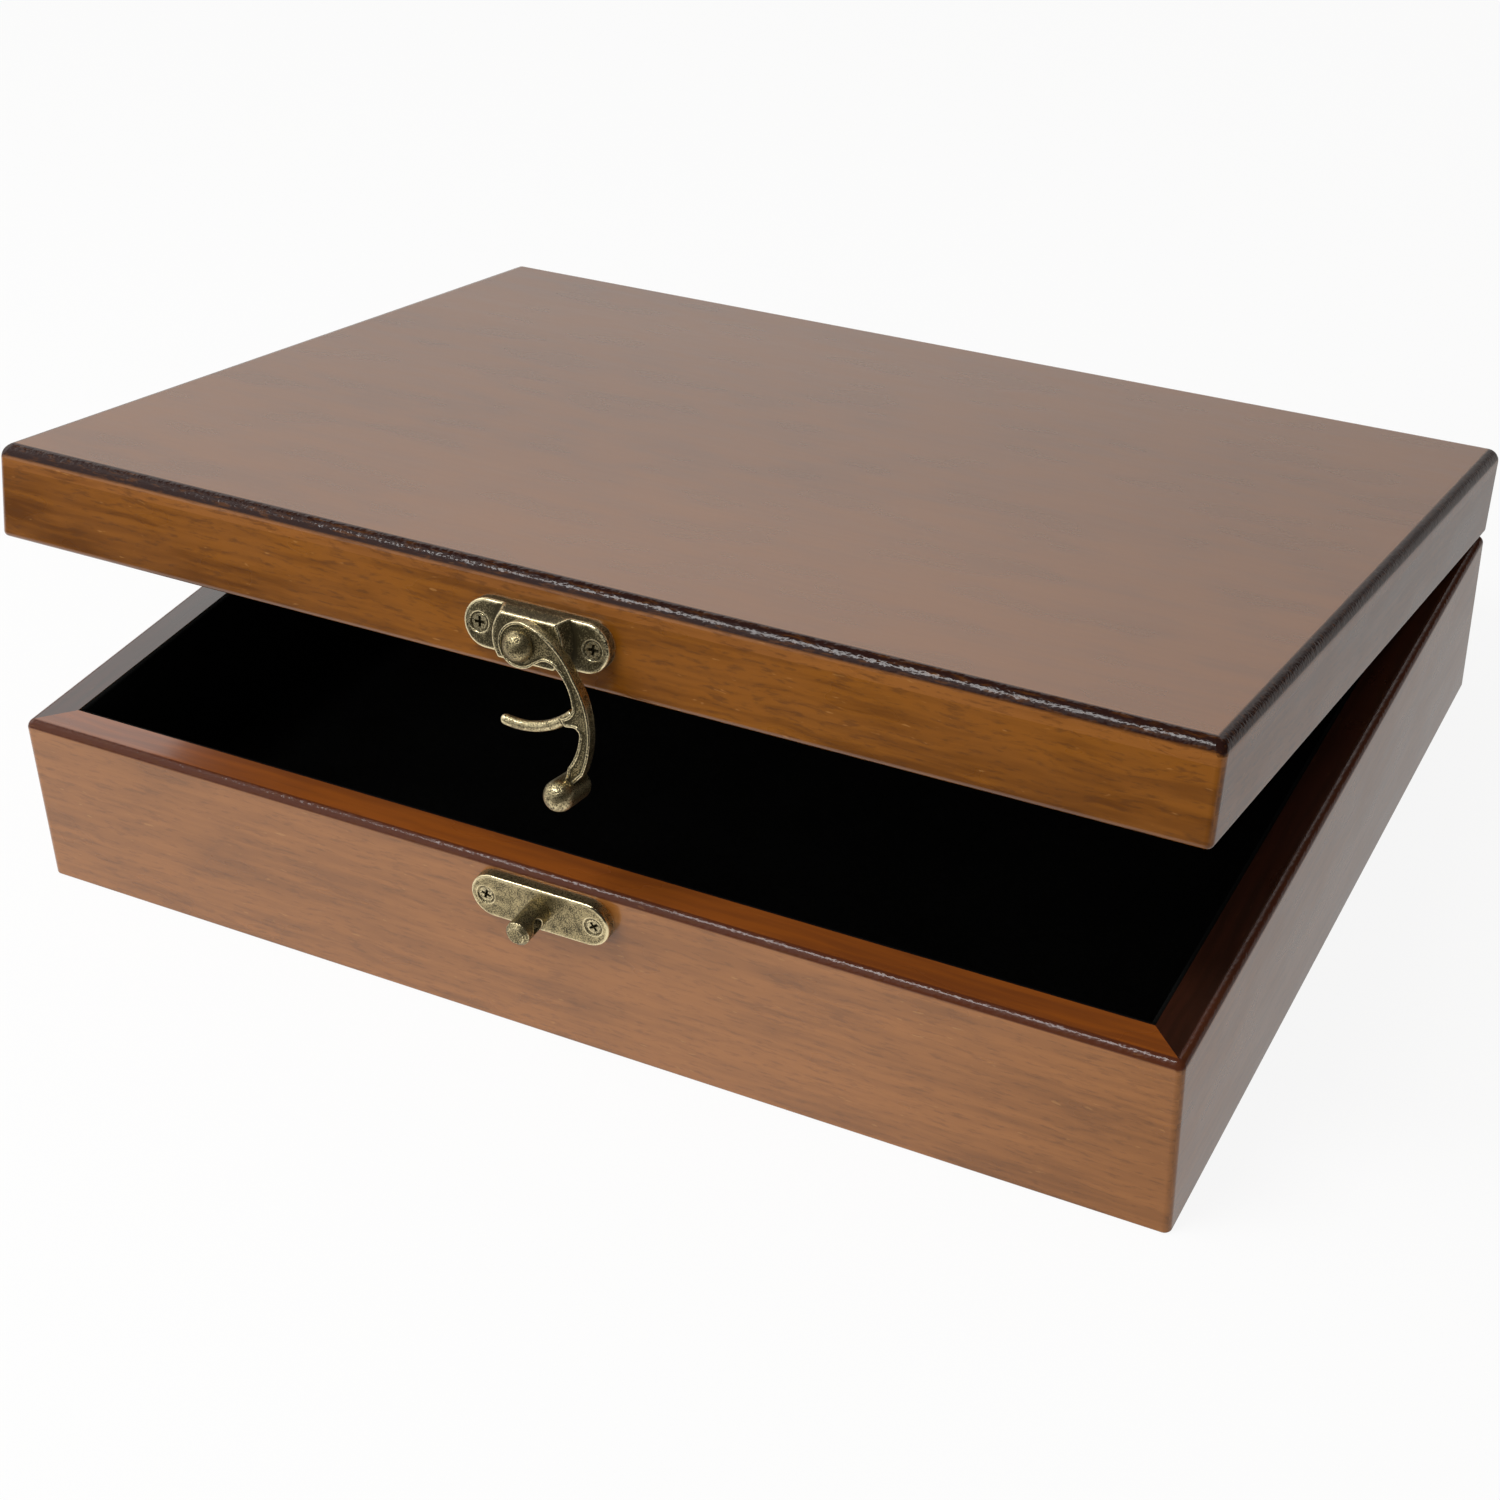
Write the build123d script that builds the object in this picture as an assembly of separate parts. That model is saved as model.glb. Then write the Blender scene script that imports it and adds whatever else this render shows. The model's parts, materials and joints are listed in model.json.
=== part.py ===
from build123d import *
import math
import os

# Lined wooden keepsake box with a hinged lid and a cast swing latch.
# All lengths are in millimetres. X runs along the front, Y from front to back, Z is up.
# The origin is the centre of the base's underside. The front face is at the lowest Y.
# The lid's pieces are built in the closed position and then turned open about the hinge line.

# Box
box_width = 305.0
box_depth = 241.6
base_height = 47.9
lid_height = 23.5
wall_thickness = 9.7
closed_gap = 0.2
lid_rest_angle = 12.0

# Panels
bottom_thickness = 4.0
rabbet_depth = 5.0
panel_clearance = 0.1
top_thickness = 5.5

# Rounded edges of the wood
corner_round = 1.8
rim_round = 2.3
foot_round = 0.6
lid_top_round = 3.4
lid_rim_round = 1.3

# Felt
felt_thickness = 1.2
felt_rim_drop = 0.2
felt_seam_gap = 0.1

# Butt hinges
hinge_from_end = 57.5
hinge_length = 32.0
hinge_axis_behind = 1.3
leaf_thickness = 0.9
leaf_margin = 2.7
leaf_clearance = 0.1
pin_radius = 0.85
pin_clearance = 0.04
knuckle_count = 3
knuckle_gap = 0.25
barrel_clearance = 0.35
hinge_screw_head = 1.8
hinge_screw_shank = 0.95
hinge_screw_length = 8.0
hinge_screw_inset = 6.0

# Latch plates
plate_length = 36.6
plate_height = 11.7
plate_thickness = 3.3
plate_edge_round = 0.6
catch_below_rim = 7.9
latch_plate_height = 10.7
latch_screw_spacing = 28.6
latch_screw_head = 2.05
latch_screw_shank = 1.1
latch_screw_length = 8.4
latch_screw_sink = 0.3
latch_screw_ring = 0.32
screw_clearance = 0.03

# Cross recess of every screw, as shares of its head radius
recess_reach = 0.62
recess_width = 0.26
recess_depth = 0.5

# Boss of the latch plate
boss_foot_radius = 10.1
boss_top_radius = 8.7
boss_height = 7.1
boss_side_slope = 8.0
boss_round = 0.35

# Catch post
post_radius = 3.05
post_tenon_radius = 2.0
post_height = 13.8
post_chamfer = 1.0

# Hook arm
arm_gap = 0.2
arm_thickness = 2.9
arm_rim = 0.65
arm_recess = 0.3
eye_radius = 5.3
rivet_radius = 2.0
rivet_clearance = 0.05
rivet_head_radius = 3.6
rivet_head_height = 3.4
rivet_dome_radius = 3.7
rivet_head_gap = 0.1

# Hook horn
horn_radius = 1.25
horn_clearance = 0.35
horn_root_cover = 0.1
horn_tip_angle = 10.0
horn_root_angle = 46.0

# Hook knob
knob_x = 12.6
knob_drop = 31.5
knob_rear = 3.1
knob_rear_radius = 3.5
knob_rear_round = 0.9
knob_radius = 3.65
knob_reach = 15.2

# Places that follow from the sizes above
half_width = box_width / 2
half_depth = box_depth / 2
inside_width = box_width - 2 * wall_thickness
inside_depth = box_depth - 2 * wall_thickness
lid_bottom = base_height + closed_gap
lid_top = lid_bottom + lid_height
top_panel_bottom = lid_top - top_thickness
hinge_y = half_depth + hinge_axis_behind
hinge_z = base_height + closed_gap / 2
hinge_line = Axis((0, hinge_y, hinge_z), (1, 0, 0))
hinge_centres = [hinge_from_end - half_width, half_width - hinge_from_end]
barrel_radius = pin_radius + pin_clearance + leaf_thickness
leaf_front = half_depth - (wall_thickness - leaf_margin)
catch_z = base_height - catch_below_rim
latch_z = lid_bottom + latch_plate_height
pivot_to_post = latch_z - catch_z
arm_back = boss_height + arm_gap
arm_front = arm_back + arm_thickness
horn_out = arm_back + horn_root_cover + horn_radius
margin = 5.0


def box_between(x, y, z):
    """A block from three (low, high) pairs."""
    size = [high - low for low, high in (x, y, z)]
    middle = [(high + low) / 2 for low, high in (x, y, z)]
    return Pos(*middle) * Box(*size)


def rod(radius, low, high):
    """A cylinder about the local Z axis from low to high."""
    return Pos(0, 0, (low + high) / 2) * Cylinder(radius, high - low)


def on_front(height):
    """Places on the front face at a height: local X right, Y up, Z out of the wood."""
    return Plane((0, -half_depth, height), x_dir=(1, 0, 0), z_dir=(0, -1, 0)).location


def lid_at_rest(shape):
    """Turn a piece of the closed lid open to the rest pose."""
    return shape.rotate(hinge_line, -lid_rest_angle)


# Wood

def rounded_block(low, high, top_round, bottom_round):
    """The outer shape of the base or the lid, with its rounded edges."""
    block = box_between((-half_width, half_width), (-half_depth, half_depth), (low, high))
    block = fillet(block.edges().filter_by(Axis.Z), corner_round)
    block = fillet(block.faces().sort_by(Axis.Z)[-1].edges(), top_round)
    return fillet(block.faces().sort_by(Axis.Z)[0].edges(), bottom_round)


def inside_block(low, high, extra=0.0):
    """The space between the four boards, widened by extra on each side."""
    x = inside_width / 2 + extra
    y = inside_depth / 2 + extra
    return box_between((-x, x), (-y, y), (low, high))


def mitred_boards(shell, prefix):
    """Part a four-sided shell into its boards along the corner mitres."""
    boards = {}
    for side, turn in {"front": 0, "right": 90, "back": 180, "left": 270}.items():
        reach, setback = half_width, half_depth
        if side in ("left", "right"):
            reach, setback = half_depth, half_width
        board = shell
        for end in (-1, 1):
            corner = Vector(end * reach, -setback, 0).rotate(Axis.Z, turn)
            outward = Vector(end, 1, 0).rotate(Axis.Z, turn)
            board = split(board, bisect_by=Plane(corner, z_dir=outward), keep=Keep.BOTTOM)
        boards[f"{prefix}_{side}_board"] = board
    return boards


def felt_walls(prefix, low, high):
    """Four felt strips on the inner faces of the boards."""
    x = inside_width / 2
    y = inside_depth / 2
    side_y = y - felt_thickness - felt_seam_gap
    z = (low, high)
    return {
        f"{prefix}_front_felt": box_between((-x, x), (-y, felt_thickness - y), z),
        f"{prefix}_back_felt": box_between((-x, x), (y - felt_thickness, y), z),
        f"{prefix}_left_felt": box_between((-x, felt_thickness - x), (-side_y, side_y), z),
        f"{prefix}_right_felt": box_between((x - felt_thickness, x), (-side_y, side_y), z),
    }


# Screws

def screw(head_radius, shank_radius, length):
    """A countersunk cross-recess screw along -Z, with its flat head at Z = 0."""
    cone = head_radius - shank_radius
    point = 2 * shank_radius
    outline = Polyline(
        (0, 0),
        (head_radius, 0),
        (shank_radius, -cone),
        (shank_radius, point - length),
        (0, -length),
        close=True,
    )
    body = revolve(make_face(Plane.XZ * outline), Axis.Z)
    reach = 2 * recess_reach * head_radius
    width = 2 * recess_width * head_radius
    depth = recess_depth * head_radius
    return body - Box(reach, width, 2 * depth) - Box(width, reach, 2 * depth)


def screw_hole(head_radius, shank_radius, length, sink, ring):
    """The hole for a screw whose head lies sink below Z = 0, in a round pocket."""
    head = head_radius + screw_clearance
    shank = shank_radius + screw_clearance
    cone = head - shank
    pocket = rod(head_radius + ring, -sink, margin)
    seat = Pos(0, 0, -sink - cone / 2) * Cone(shank, head, cone)
    return pocket + seat + rod(shank, -sink - length - screw_clearance, -sink)


# Hinges

def hinge_screw_places(top, up):
    """Where one leaf's screws stand: the leaf's face height, and which way it faces."""
    y = (leaf_front + half_depth) / 2
    plane = Plane((0, y, top), x_dir=(1, 0, 0), z_dir=(0, 0, up))
    x = hinge_length / 2 - hinge_screw_inset
    return [plane.location * Pos(-x, 0, 0), plane.location * Pos(x, 0, 0)]


def knuckle_spans(own):
    """The X spans of a leaf's knuckles: every second one, from the first or the second."""
    pitch = hinge_length / knuckle_count
    spans = []
    for index in range(own, knuckle_count, 2):
        low = -hinge_length / 2 + index * pitch
        spans.append((low + knuckle_gap / 2, low + pitch - knuckle_gap / 2))
    return spans


def hinge_rod(radius, low, high):
    """A cylinder along the hinge line between two X values."""
    return Pos(0, hinge_y, hinge_z) * Rot(0, 90, 0) * rod(radius, low, high)


def hinge_leaf(face, up, own):
    """One leaf: a plate with its knuckles rolled round the pin."""
    z = sorted((face, face - up * leaf_thickness))
    half = hinge_length / 2
    plate_back = hinge_y - barrel_radius - knuckle_gap
    knuckle_root = plate_back - leaf_thickness
    leaf = box_between((-half, half), (leaf_front, plate_back), z)
    for span in knuckle_spans(own):
        leaf += box_between(span, (knuckle_root, hinge_y), z)
        leaf += hinge_rod(barrel_radius, *span)
    leaf -= hinge_rod(pin_radius + pin_clearance, -half, half)
    for place in hinge_screw_places(face, up):
        leaf -= place * screw_hole(hinge_screw_head, hinge_screw_shank, hinge_screw_length, 0, 0)
    return leaf


def hinge_room(face, up):
    """What the wood gives up to one leaf: mortise, barrel relief and screw holes."""
    half = hinge_length / 2 + leaf_clearance
    z = sorted((face + up * margin, face - up * leaf_thickness))
    room = box_between((-half, half), (leaf_front - leaf_clearance, half_depth + margin), z)
    room += hinge_rod(barrel_radius + barrel_clearance, -half, half)
    for place in hinge_screw_places(face, up):
        room += place * screw_hole(hinge_screw_head, hinge_screw_shank, hinge_screw_length, 0, 0)
    return room


def hinge_screws(face, up):
    """The screws of one leaf."""
    return [
        place * screw(hinge_screw_head, hinge_screw_shank, hinge_screw_length)
        for place in hinge_screw_places(face, up)
    ]


# Latch, in the front face's own frame: X right, Y up, Z out of the wood

def latch_screw_places():
    """The two screws of a plate, with their heads sunk below its face."""
    x = latch_screw_spacing / 2
    return [Pos(-x, 0, plate_thickness), Pos(x, 0, plate_thickness)]


def latch_screw_hole():
    """The hole for one plate screw, from the plate's face down into the wood."""
    return screw_hole(
        latch_screw_head, latch_screw_shank, latch_screw_length, latch_screw_sink, latch_screw_ring
    )


def latch_screw_holes():
    """Both screw holes of a plate."""
    first, second = [place * latch_screw_hole() for place in latch_screw_places()]
    return first + second


def latch_screws():
    """Both screws of a plate."""
    sunk = Pos(0, 0, -latch_screw_sink)
    return [
        place * sunk * screw(latch_screw_head, latch_screw_shank, latch_screw_length)
        for place in latch_screw_places()
    ]


def plain_plate():
    """A plate with round ends and an eased front edge."""
    plate = extrude(SlotOverall(plate_length, plate_height), plate_thickness)
    return fillet(plate.edges().group_by(Axis.Z)[-1], plate_edge_round)


def catch_plate():
    """The plate on the base, with the hole for its post."""
    tenon_hole = rod(post_tenon_radius + screw_clearance, -margin, margin)
    return plain_plate() - tenon_hole - latch_screw_holes()


def catch_post():
    """The post, its tenon riveted in the plate and its cross hole for the horn."""
    post = rod(post_radius, plate_thickness, post_height)
    post = chamfer(post.edges().group_by(Axis.Z)[-1], post_chamfer)
    post += rod(post_tenon_radius, 0, plate_thickness)
    sag = pivot_to_post - math.sqrt(pivot_to_post**2 - post_radius**2)
    hole = rod(horn_radius + sag + horn_clearance, -margin, margin)
    return post - Pos(0, 0, horn_out) * Rot(0, 90, 0) * hole


def latch_plate():
    """The plate on the lid, with the raised boss that carries the hook."""
    rise = boss_height - plate_thickness
    cone = Pos(0, 0, plate_thickness + rise / 2) * Cone(boss_foot_radius, boss_top_radius, rise)
    band = extrude(Rectangle(3 * boss_foot_radius, plate_height), rise, taper=boss_side_slope)
    boss = cone & (Pos(0, 0, plate_thickness) * band)
    boss = fillet(boss.edges().group_by(Axis.Z)[-1], boss_round)
    core = extrude(Circle(boss_foot_radius) & Rectangle(3 * boss_foot_radius, plate_height), plate_thickness)
    rivet_hole = rod(rivet_radius + screw_clearance, -margin, 2 * margin)
    return plain_plate() + core + boss - rivet_hole - latch_screw_holes()


def latch_rivet():
    """The pivot: a shank through plate and eye, under a domed head."""
    head_low = arm_front + rivet_head_gap
    head_top = head_low + rivet_head_height
    dome = Pos(0, 0, head_top - rivet_dome_radius) * Sphere(rivet_dome_radius)
    head = dome & rod(rivet_head_radius, head_low, head_top + margin)
    return head + rod(rivet_radius, 0, head_low)


def arm_spot(across, down):
    """A point of the arm, as shares of the distance from the pivot to the post."""
    return (across * pivot_to_post, -down * pivot_to_post)


def arm_face():
    """The hook arm's outline: the eye, the outer sweep, the tail to the knob, the stub of the horn."""
    eye_top = (0, eye_radius)
    shoulder = arm_spot(0.729, 0.248)
    heel = arm_spot(0.91, 1.4)
    tail = arm_spot(0.718, 1.346)
    waist = arm_spot(0.843, 0.952)
    fork = arm_spot(0.745, 0.838)
    stub_low = arm_spot(0.649, 0.853)
    stub_high = arm_spot(0.577, 0.763)
    crook = arm_spot(0.734, 0.617)
    throat = arm_spot(0.511, 0.191)
    neck = arm_spot(0.298, 0.133)
    chin = arm_spot(0.17, 0.218)
    knob = (knob_x, -knob_drop)
    edges = [
        ThreePointArc(eye_top, arm_spot(0.404, -0.122), shoulder),
        ThreePointArc(shoulder, arm_spot(0.968, 0.793), heel),
        Line(heel, knob),
        Line(knob, tail),
        ThreePointArc(tail, arm_spot(0.814, 1.138), waist),
        ThreePointArc(waist, arm_spot(0.819, 0.862), fork),
        Line(fork, stub_low),
        Line(stub_low, stub_high),
        ThreePointArc(stub_high, arm_spot(0.686, 0.713), crook),
        ThreePointArc(crook, arm_spot(0.67, 0.404), throat),
        ThreePointArc(throat, arm_spot(0.404, 0.125), neck),
        Line(neck, chin),
        Line(chin, (0, 0)),
        Line((0, 0), eye_top),
    ]
    return make_face(edges) + Circle(eye_radius)


def hook_horn():
    """The curved horn about the pivot, with a round tip, that goes through the post."""
    tip = math.radians(270 - horn_tip_angle)
    spot = (pivot_to_post * math.cos(tip), pivot_to_post * math.sin(tip), horn_out)
    along = (-math.sin(tip), math.cos(tip), 0)
    section = Plane(spot, x_dir=(0, 0, 1), z_dir=along) * Circle(horn_radius)
    bar = revolve(section, Axis.Z, horn_tip_angle + horn_root_angle)
    return bar + Pos(*spot) * Sphere(horn_radius)


def hook_knob():
    """The thumb knob: a tapered stub that stands out of the arm and ends in a ball."""
    centre = knob_reach - knob_radius
    stub = Pos(0, 0, (knob_rear + centre) / 2) * Cone(knob_rear_radius, knob_radius, centre - knob_rear)
    stub = fillet(stub.edges().sort_by(Axis.Z)[0], knob_rear_round)
    ball = Pos(0, 0, centre) * Sphere(knob_radius)
    return Pos(knob_x, -knob_drop, 0) * (stub + ball)


def latch_hook():
    """The hook as it hangs in the rest pose."""
    face = arm_face()
    arm = Pos(0, 0, arm_back) * extrude(face, arm_thickness)
    sunken = Pos(0, 0, arm_front - arm_recess) * extrude(offset(face, -arm_rim), margin)
    hole = rod(rivet_radius + rivet_clearance, 0, 2 * margin)
    return arm - sunken - hole + hook_horn() + hook_knob()


# Assembly

def base_pieces():
    """Everything that stays with the lower box."""
    shell = rounded_block(0, base_height, rim_round, foot_round)
    shell -= inside_block(-margin, base_height + margin)
    shell -= inside_block(-margin, bottom_thickness, rabbet_depth)
    shell -= on_front(catch_z) * latch_screw_holes()
    for x in hinge_centres:
        shell -= Pos(x, 0, 0) * hinge_room(base_height, 1)
    pieces = mitred_boards(shell, "base")
    pieces["base_bottom_panel"] = inside_block(0, bottom_thickness, rabbet_depth - panel_clearance)
    felt_top = bottom_thickness + felt_thickness
    pieces["base_floor_felt"] = inside_block(bottom_thickness, felt_top)
    pieces |= felt_walls("base", felt_top, base_height - felt_rim_drop)
    place = on_front(catch_z)
    pieces["catch_plate"] = place * catch_plate()
    pieces["catch_post"] = place * catch_post()
    pieces["catch_screws"] = Compound([place * one for one in latch_screws()])
    return pieces


def lid_pieces():
    """Everything that turns with the lid, in the closed position."""
    block = rounded_block(lid_bottom, lid_top, lid_top_round, lid_rim_round)
    slab = box_between((-half_width, half_width), (-half_depth, half_depth), (top_panel_bottom, lid_top))
    shell = block - slab - inside_block(lid_bottom - margin, lid_top)
    shell -= on_front(latch_z) * latch_screw_holes()
    for x in hinge_centres:
        shell -= Pos(x, 0, 0) * hinge_room(lid_bottom, -1)
    pieces = mitred_boards(shell, "lid")
    pieces["lid_top_panel"] = block & slab
    felt_bottom = top_panel_bottom - felt_thickness
    pieces["lid_ceiling_felt"] = inside_block(felt_bottom, top_panel_bottom)
    pieces |= felt_walls("lid", lid_bottom + felt_rim_drop, felt_bottom)
    place = on_front(latch_z)
    pieces["latch_plate"] = place * latch_plate()
    pieces["latch_rivet"] = place * latch_rivet()
    pieces["latch_screws"] = Compound([place * one for one in latch_screws()])
    pieces["latch_hook"] = place * latch_hook()
    return pieces


base = base_pieces()
lid = lid_pieces()
for side, x in zip(["left", "right"], hinge_centres):
    half_pin = hinge_length / 2
    base[f"hinge_{side}_base_leaf"] = Pos(x, 0, 0) * hinge_leaf(base_height, 1, 0)
    base[f"hinge_{side}_pin"] = Pos(x, 0, 0) * hinge_rod(pin_radius, -half_pin, half_pin)
    lid[f"hinge_{side}_lid_leaf"] = Pos(x, 0, 0) * hinge_leaf(lid_bottom, -1, 1)
base["hinge_base_screws"] = Compound(
    [Pos(x, 0, 0) * one for x in hinge_centres for one in hinge_screws(base_height, 1)]
)
lid["hinge_lid_screws"] = Compound(
    [Pos(x, 0, 0) * one for x in hinge_centres for one in hinge_screws(lid_bottom, -1)]
)

os.makedirs("parts", exist_ok=True)
for name, piece in base.items():
    export_step(piece, f"parts/{name}.step")
for name, piece in lid.items():
    export_step(lid_at_rest(piece), f"parts/{name}.step")
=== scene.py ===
# %% [markdown]
# # A lined keepsake box with a cast swing latch
# The box is stained and lacquered wood with black felt inside, and a small brass-coloured latch
# on the front. Every measured part comes in from a fixed frame, already at its real size, so the
# work left here is the finish of each surface and the few shapes that only a mesh shows well.
# The start scene is emptied first, or its cube would be counted as part of the box.

import json
import math
from functools import partial

import bmesh
import bpy
import numpy as np
from mathutils import Matrix, Vector, noise

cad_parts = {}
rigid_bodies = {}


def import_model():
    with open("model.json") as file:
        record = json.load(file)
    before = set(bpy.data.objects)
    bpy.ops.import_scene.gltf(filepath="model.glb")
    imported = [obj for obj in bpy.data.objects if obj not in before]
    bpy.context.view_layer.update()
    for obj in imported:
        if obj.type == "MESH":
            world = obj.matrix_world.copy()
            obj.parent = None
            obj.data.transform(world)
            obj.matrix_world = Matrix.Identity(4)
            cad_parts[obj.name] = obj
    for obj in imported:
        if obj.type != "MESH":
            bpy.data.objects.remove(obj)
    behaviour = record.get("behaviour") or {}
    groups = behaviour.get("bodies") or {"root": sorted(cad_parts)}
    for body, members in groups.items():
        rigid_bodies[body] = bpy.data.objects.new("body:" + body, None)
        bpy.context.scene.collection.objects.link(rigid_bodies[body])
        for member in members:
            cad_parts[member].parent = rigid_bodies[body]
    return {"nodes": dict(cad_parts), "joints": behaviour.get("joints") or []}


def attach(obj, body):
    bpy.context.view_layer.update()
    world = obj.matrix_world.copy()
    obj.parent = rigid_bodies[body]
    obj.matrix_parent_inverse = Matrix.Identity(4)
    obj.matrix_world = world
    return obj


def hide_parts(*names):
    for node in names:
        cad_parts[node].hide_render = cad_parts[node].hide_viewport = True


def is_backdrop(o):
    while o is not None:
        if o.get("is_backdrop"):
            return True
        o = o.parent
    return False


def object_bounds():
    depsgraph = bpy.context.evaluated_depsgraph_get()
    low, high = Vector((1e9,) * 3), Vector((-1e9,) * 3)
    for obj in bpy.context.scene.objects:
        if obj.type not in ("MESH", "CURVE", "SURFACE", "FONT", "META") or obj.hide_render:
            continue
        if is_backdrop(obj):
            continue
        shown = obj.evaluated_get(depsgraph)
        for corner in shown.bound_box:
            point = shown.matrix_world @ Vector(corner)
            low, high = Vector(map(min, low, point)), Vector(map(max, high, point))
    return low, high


for leftover in list(bpy.data.objects):
    bpy.data.objects.remove(leftover)
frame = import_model()
nodes = frame["nodes"]
cad_low, cad_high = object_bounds()
size_mm = [round(1000 * length, 1) for length in cad_high - cad_low]
print("measured parts:", len(nodes), "size in mm:", size_mm)

# %% [markdown]
# ## The lid stands open
# The lid is turned about the hinge line at the back, and its parts come in already turned. Boards
# and felt are easier to think of with the lid shut, so this step finds the turn from the joint
# itself. Reading it from the joint means that the finish still fits if the rest angle changes.

# %% Find the lid's turn
MM = 0.001
joints = {joint["name"]: joint for joint in frame["joints"]}
lid_open = math.radians(-joints["lid_hinge"]["range_deg"][0])
hinge_spot = Vector(joints["lid_hinge"]["pos_m"])
open_lid = (
    Matrix.Translation(hinge_spot)
    @ Matrix.Rotation(-lid_open, 4, "X")
    @ Matrix.Translation(-hinge_spot)
)
shut = {"base": Matrix.Identity(4), "lid": open_lid.inverted(), "hook": open_lid.inverted()}
print("lid stands open by", round(math.degrees(lid_open), 1), "degrees")


def shut_box(node, body):
    """The corners of a part in the pose where the lid is shut."""
    spots = np.array([shut[body] @ v.co for v in nodes[node].data.vertices])
    return Vector(spots.min(0)), Vector(spots.max(0))


def link(name, mesh):
    """A new object that carries this mesh, standing at the origin."""
    piece = bpy.data.objects.new(name, mesh)
    bpy.context.scene.collection.objects.link(piece)
    return piece


# %% [markdown]
# ## Small helpers for node trees
# Materials and modifiers are both trees of nodes. A few short helpers keep the cells below
# readable. They add a node with its settings, place a plain number or a link on an input, do
# arithmetic, mix two colours and open an empty group. A smooth step turns any value into a soft
# mask, and noise stretched along an axis is what most of the patterns here are made of.

# %% Helpers for node trees
def add(tree, kind, inputs=None, **settings):
    """A node of this kind, with its settings and its inputs filled in by name or number."""
    made = tree.nodes.new(kind)
    for key, value in settings.items():
        setattr(made, key, value)
    for key, value in (inputs or {}).items():
        feed(tree, made.inputs[key], value)
    return made


def feed(tree, socket, value):
    """Put a link or a plain value on one input."""
    if isinstance(value, bpy.types.NodeSocket):
        tree.links.new(value, socket)
    else:
        socket.default_value = value


def calc(tree, operation, first, second=0.0, clamp=False):
    """One arithmetic step on two numbers."""
    step = add(tree, "ShaderNodeMath", {0: first, 1: second}, operation=operation, use_clamp=clamp)
    return step.outputs[0]


def soft_mask(tree, value, low, high):
    """A smooth step from 0 at low to 1 at high, or the other way round if low is above high."""
    rising = low < high
    step = add(tree, "ShaderNodeMapRange", {0: value, 1: min(low, high), 2: max(low, high)})
    step.interpolation_type = "SMOOTHSTEP"
    step.inputs[3].default_value = 0.0 if rising else 1.0
    step.inputs[4].default_value = 1.0 if rising else 0.0
    return step.outputs[0]


def blend_colour(tree, share, first, second):
    """Two colours mixed by a share."""
    mixer = add(tree, "ShaderNodeMix", data_type="RGBA")
    feed(tree, mixer.inputs[0], share)
    feed(tree, mixer.inputs[6], first)
    feed(tree, mixer.inputs[7], second)
    return mixer.outputs[2]


def shader_group(name, inputs, outputs):
    """An empty shader group with its named inputs and outputs."""
    tree = bpy.data.node_groups.new(name, "ShaderNodeTree")
    for label, kind, value in inputs:
        socket = tree.interface.new_socket(label, in_out="INPUT", socket_type="NodeSocket" + kind)
        if value is not None:
            socket.default_value = value
    for label, kind in outputs:
        tree.interface.new_socket(label, in_out="OUTPUT", socket_type="NodeSocket" + kind)
    return tree, tree.nodes.new("NodeGroupInput"), tree.nodes.new("NodeGroupOutput")


def stretched_noise(tree, spot, per_metre, detail, offset=0.0, roughness=0.5):
    """Noise with its own frequency along each axis, given as cycles in a metre."""
    place = add(tree, "ShaderNodeVectorMath", {0: spot, 1: per_metre}, operation="MULTIPLY")
    moved = add(tree, "ShaderNodeVectorMath", {0: place.outputs[0], 1: (offset,) * 3})
    made = add(tree, "ShaderNodeTexNoise", {"Vector": moved.outputs[0], "Scale": 1.0})
    made.inputs["Detail"].default_value = detail
    made.inputs["Roughness"].default_value = roughness
    return made.outputs["Fac"]


# %% [markdown]
# ## Grain
# Stained wood has long faint streaks, short dark pores that lie along the grain, and a few pale
# flecks where the stain didn't take. Real boards are cut from a log, so the pattern has to be
# solid, running through the board. Noise stretched along one axis of the board's own space does
# that with no picture and no seams. It is a group because every board of the box uses it.

# %% Build the grain group
grain_group, grain_in, grain_out = shader_group(
    "wood_grain",
    [("Vector", "Vector", None)],
    [
        ("Streak", "Float"), ("Drift", "Float"), ("Cloud", "Float"),
        ("Pore", "Float"), ("Fleck", "Float"),
    ],
)
grain_math = partial(calc, grain_group)
grain_noise = partial(stretched_noise, grain_group)
sway_across, sway_down = 2.6 * MM, -2.2 * MM
fine_share, broad_share = 0.55, 0.45

grain_spot = grain_in.outputs["Vector"]
sway = grain_noise(grain_spot, (55, 90, 90), detail=1.0, offset=13.0)
shift = add(grain_group, "ShaderNodeCombineXYZ", {
    "Y": grain_math("MULTIPLY", sway, sway_across),
    "Z": grain_math("MULTIPLY", sway, sway_down)})
wavy_spot = add(grain_group, "ShaderNodeVectorMath", {
    0: grain_spot, 1: shift.outputs[0]}).outputs[0]
fine_streak = grain_noise(wavy_spot, (30, 560, 560), detail=3.0)
broad_streak = grain_noise(wavy_spot, (9, 110, 110), detail=2.0, offset=4.1)
streak = grain_math("ADD", grain_math("MULTIPLY", fine_streak, fine_share),
                    grain_math("MULTIPLY", broad_streak, broad_share))
feed(grain_group, grain_out.inputs["Streak"], soft_mask(grain_group, streak, 0.36, 0.64))

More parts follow.
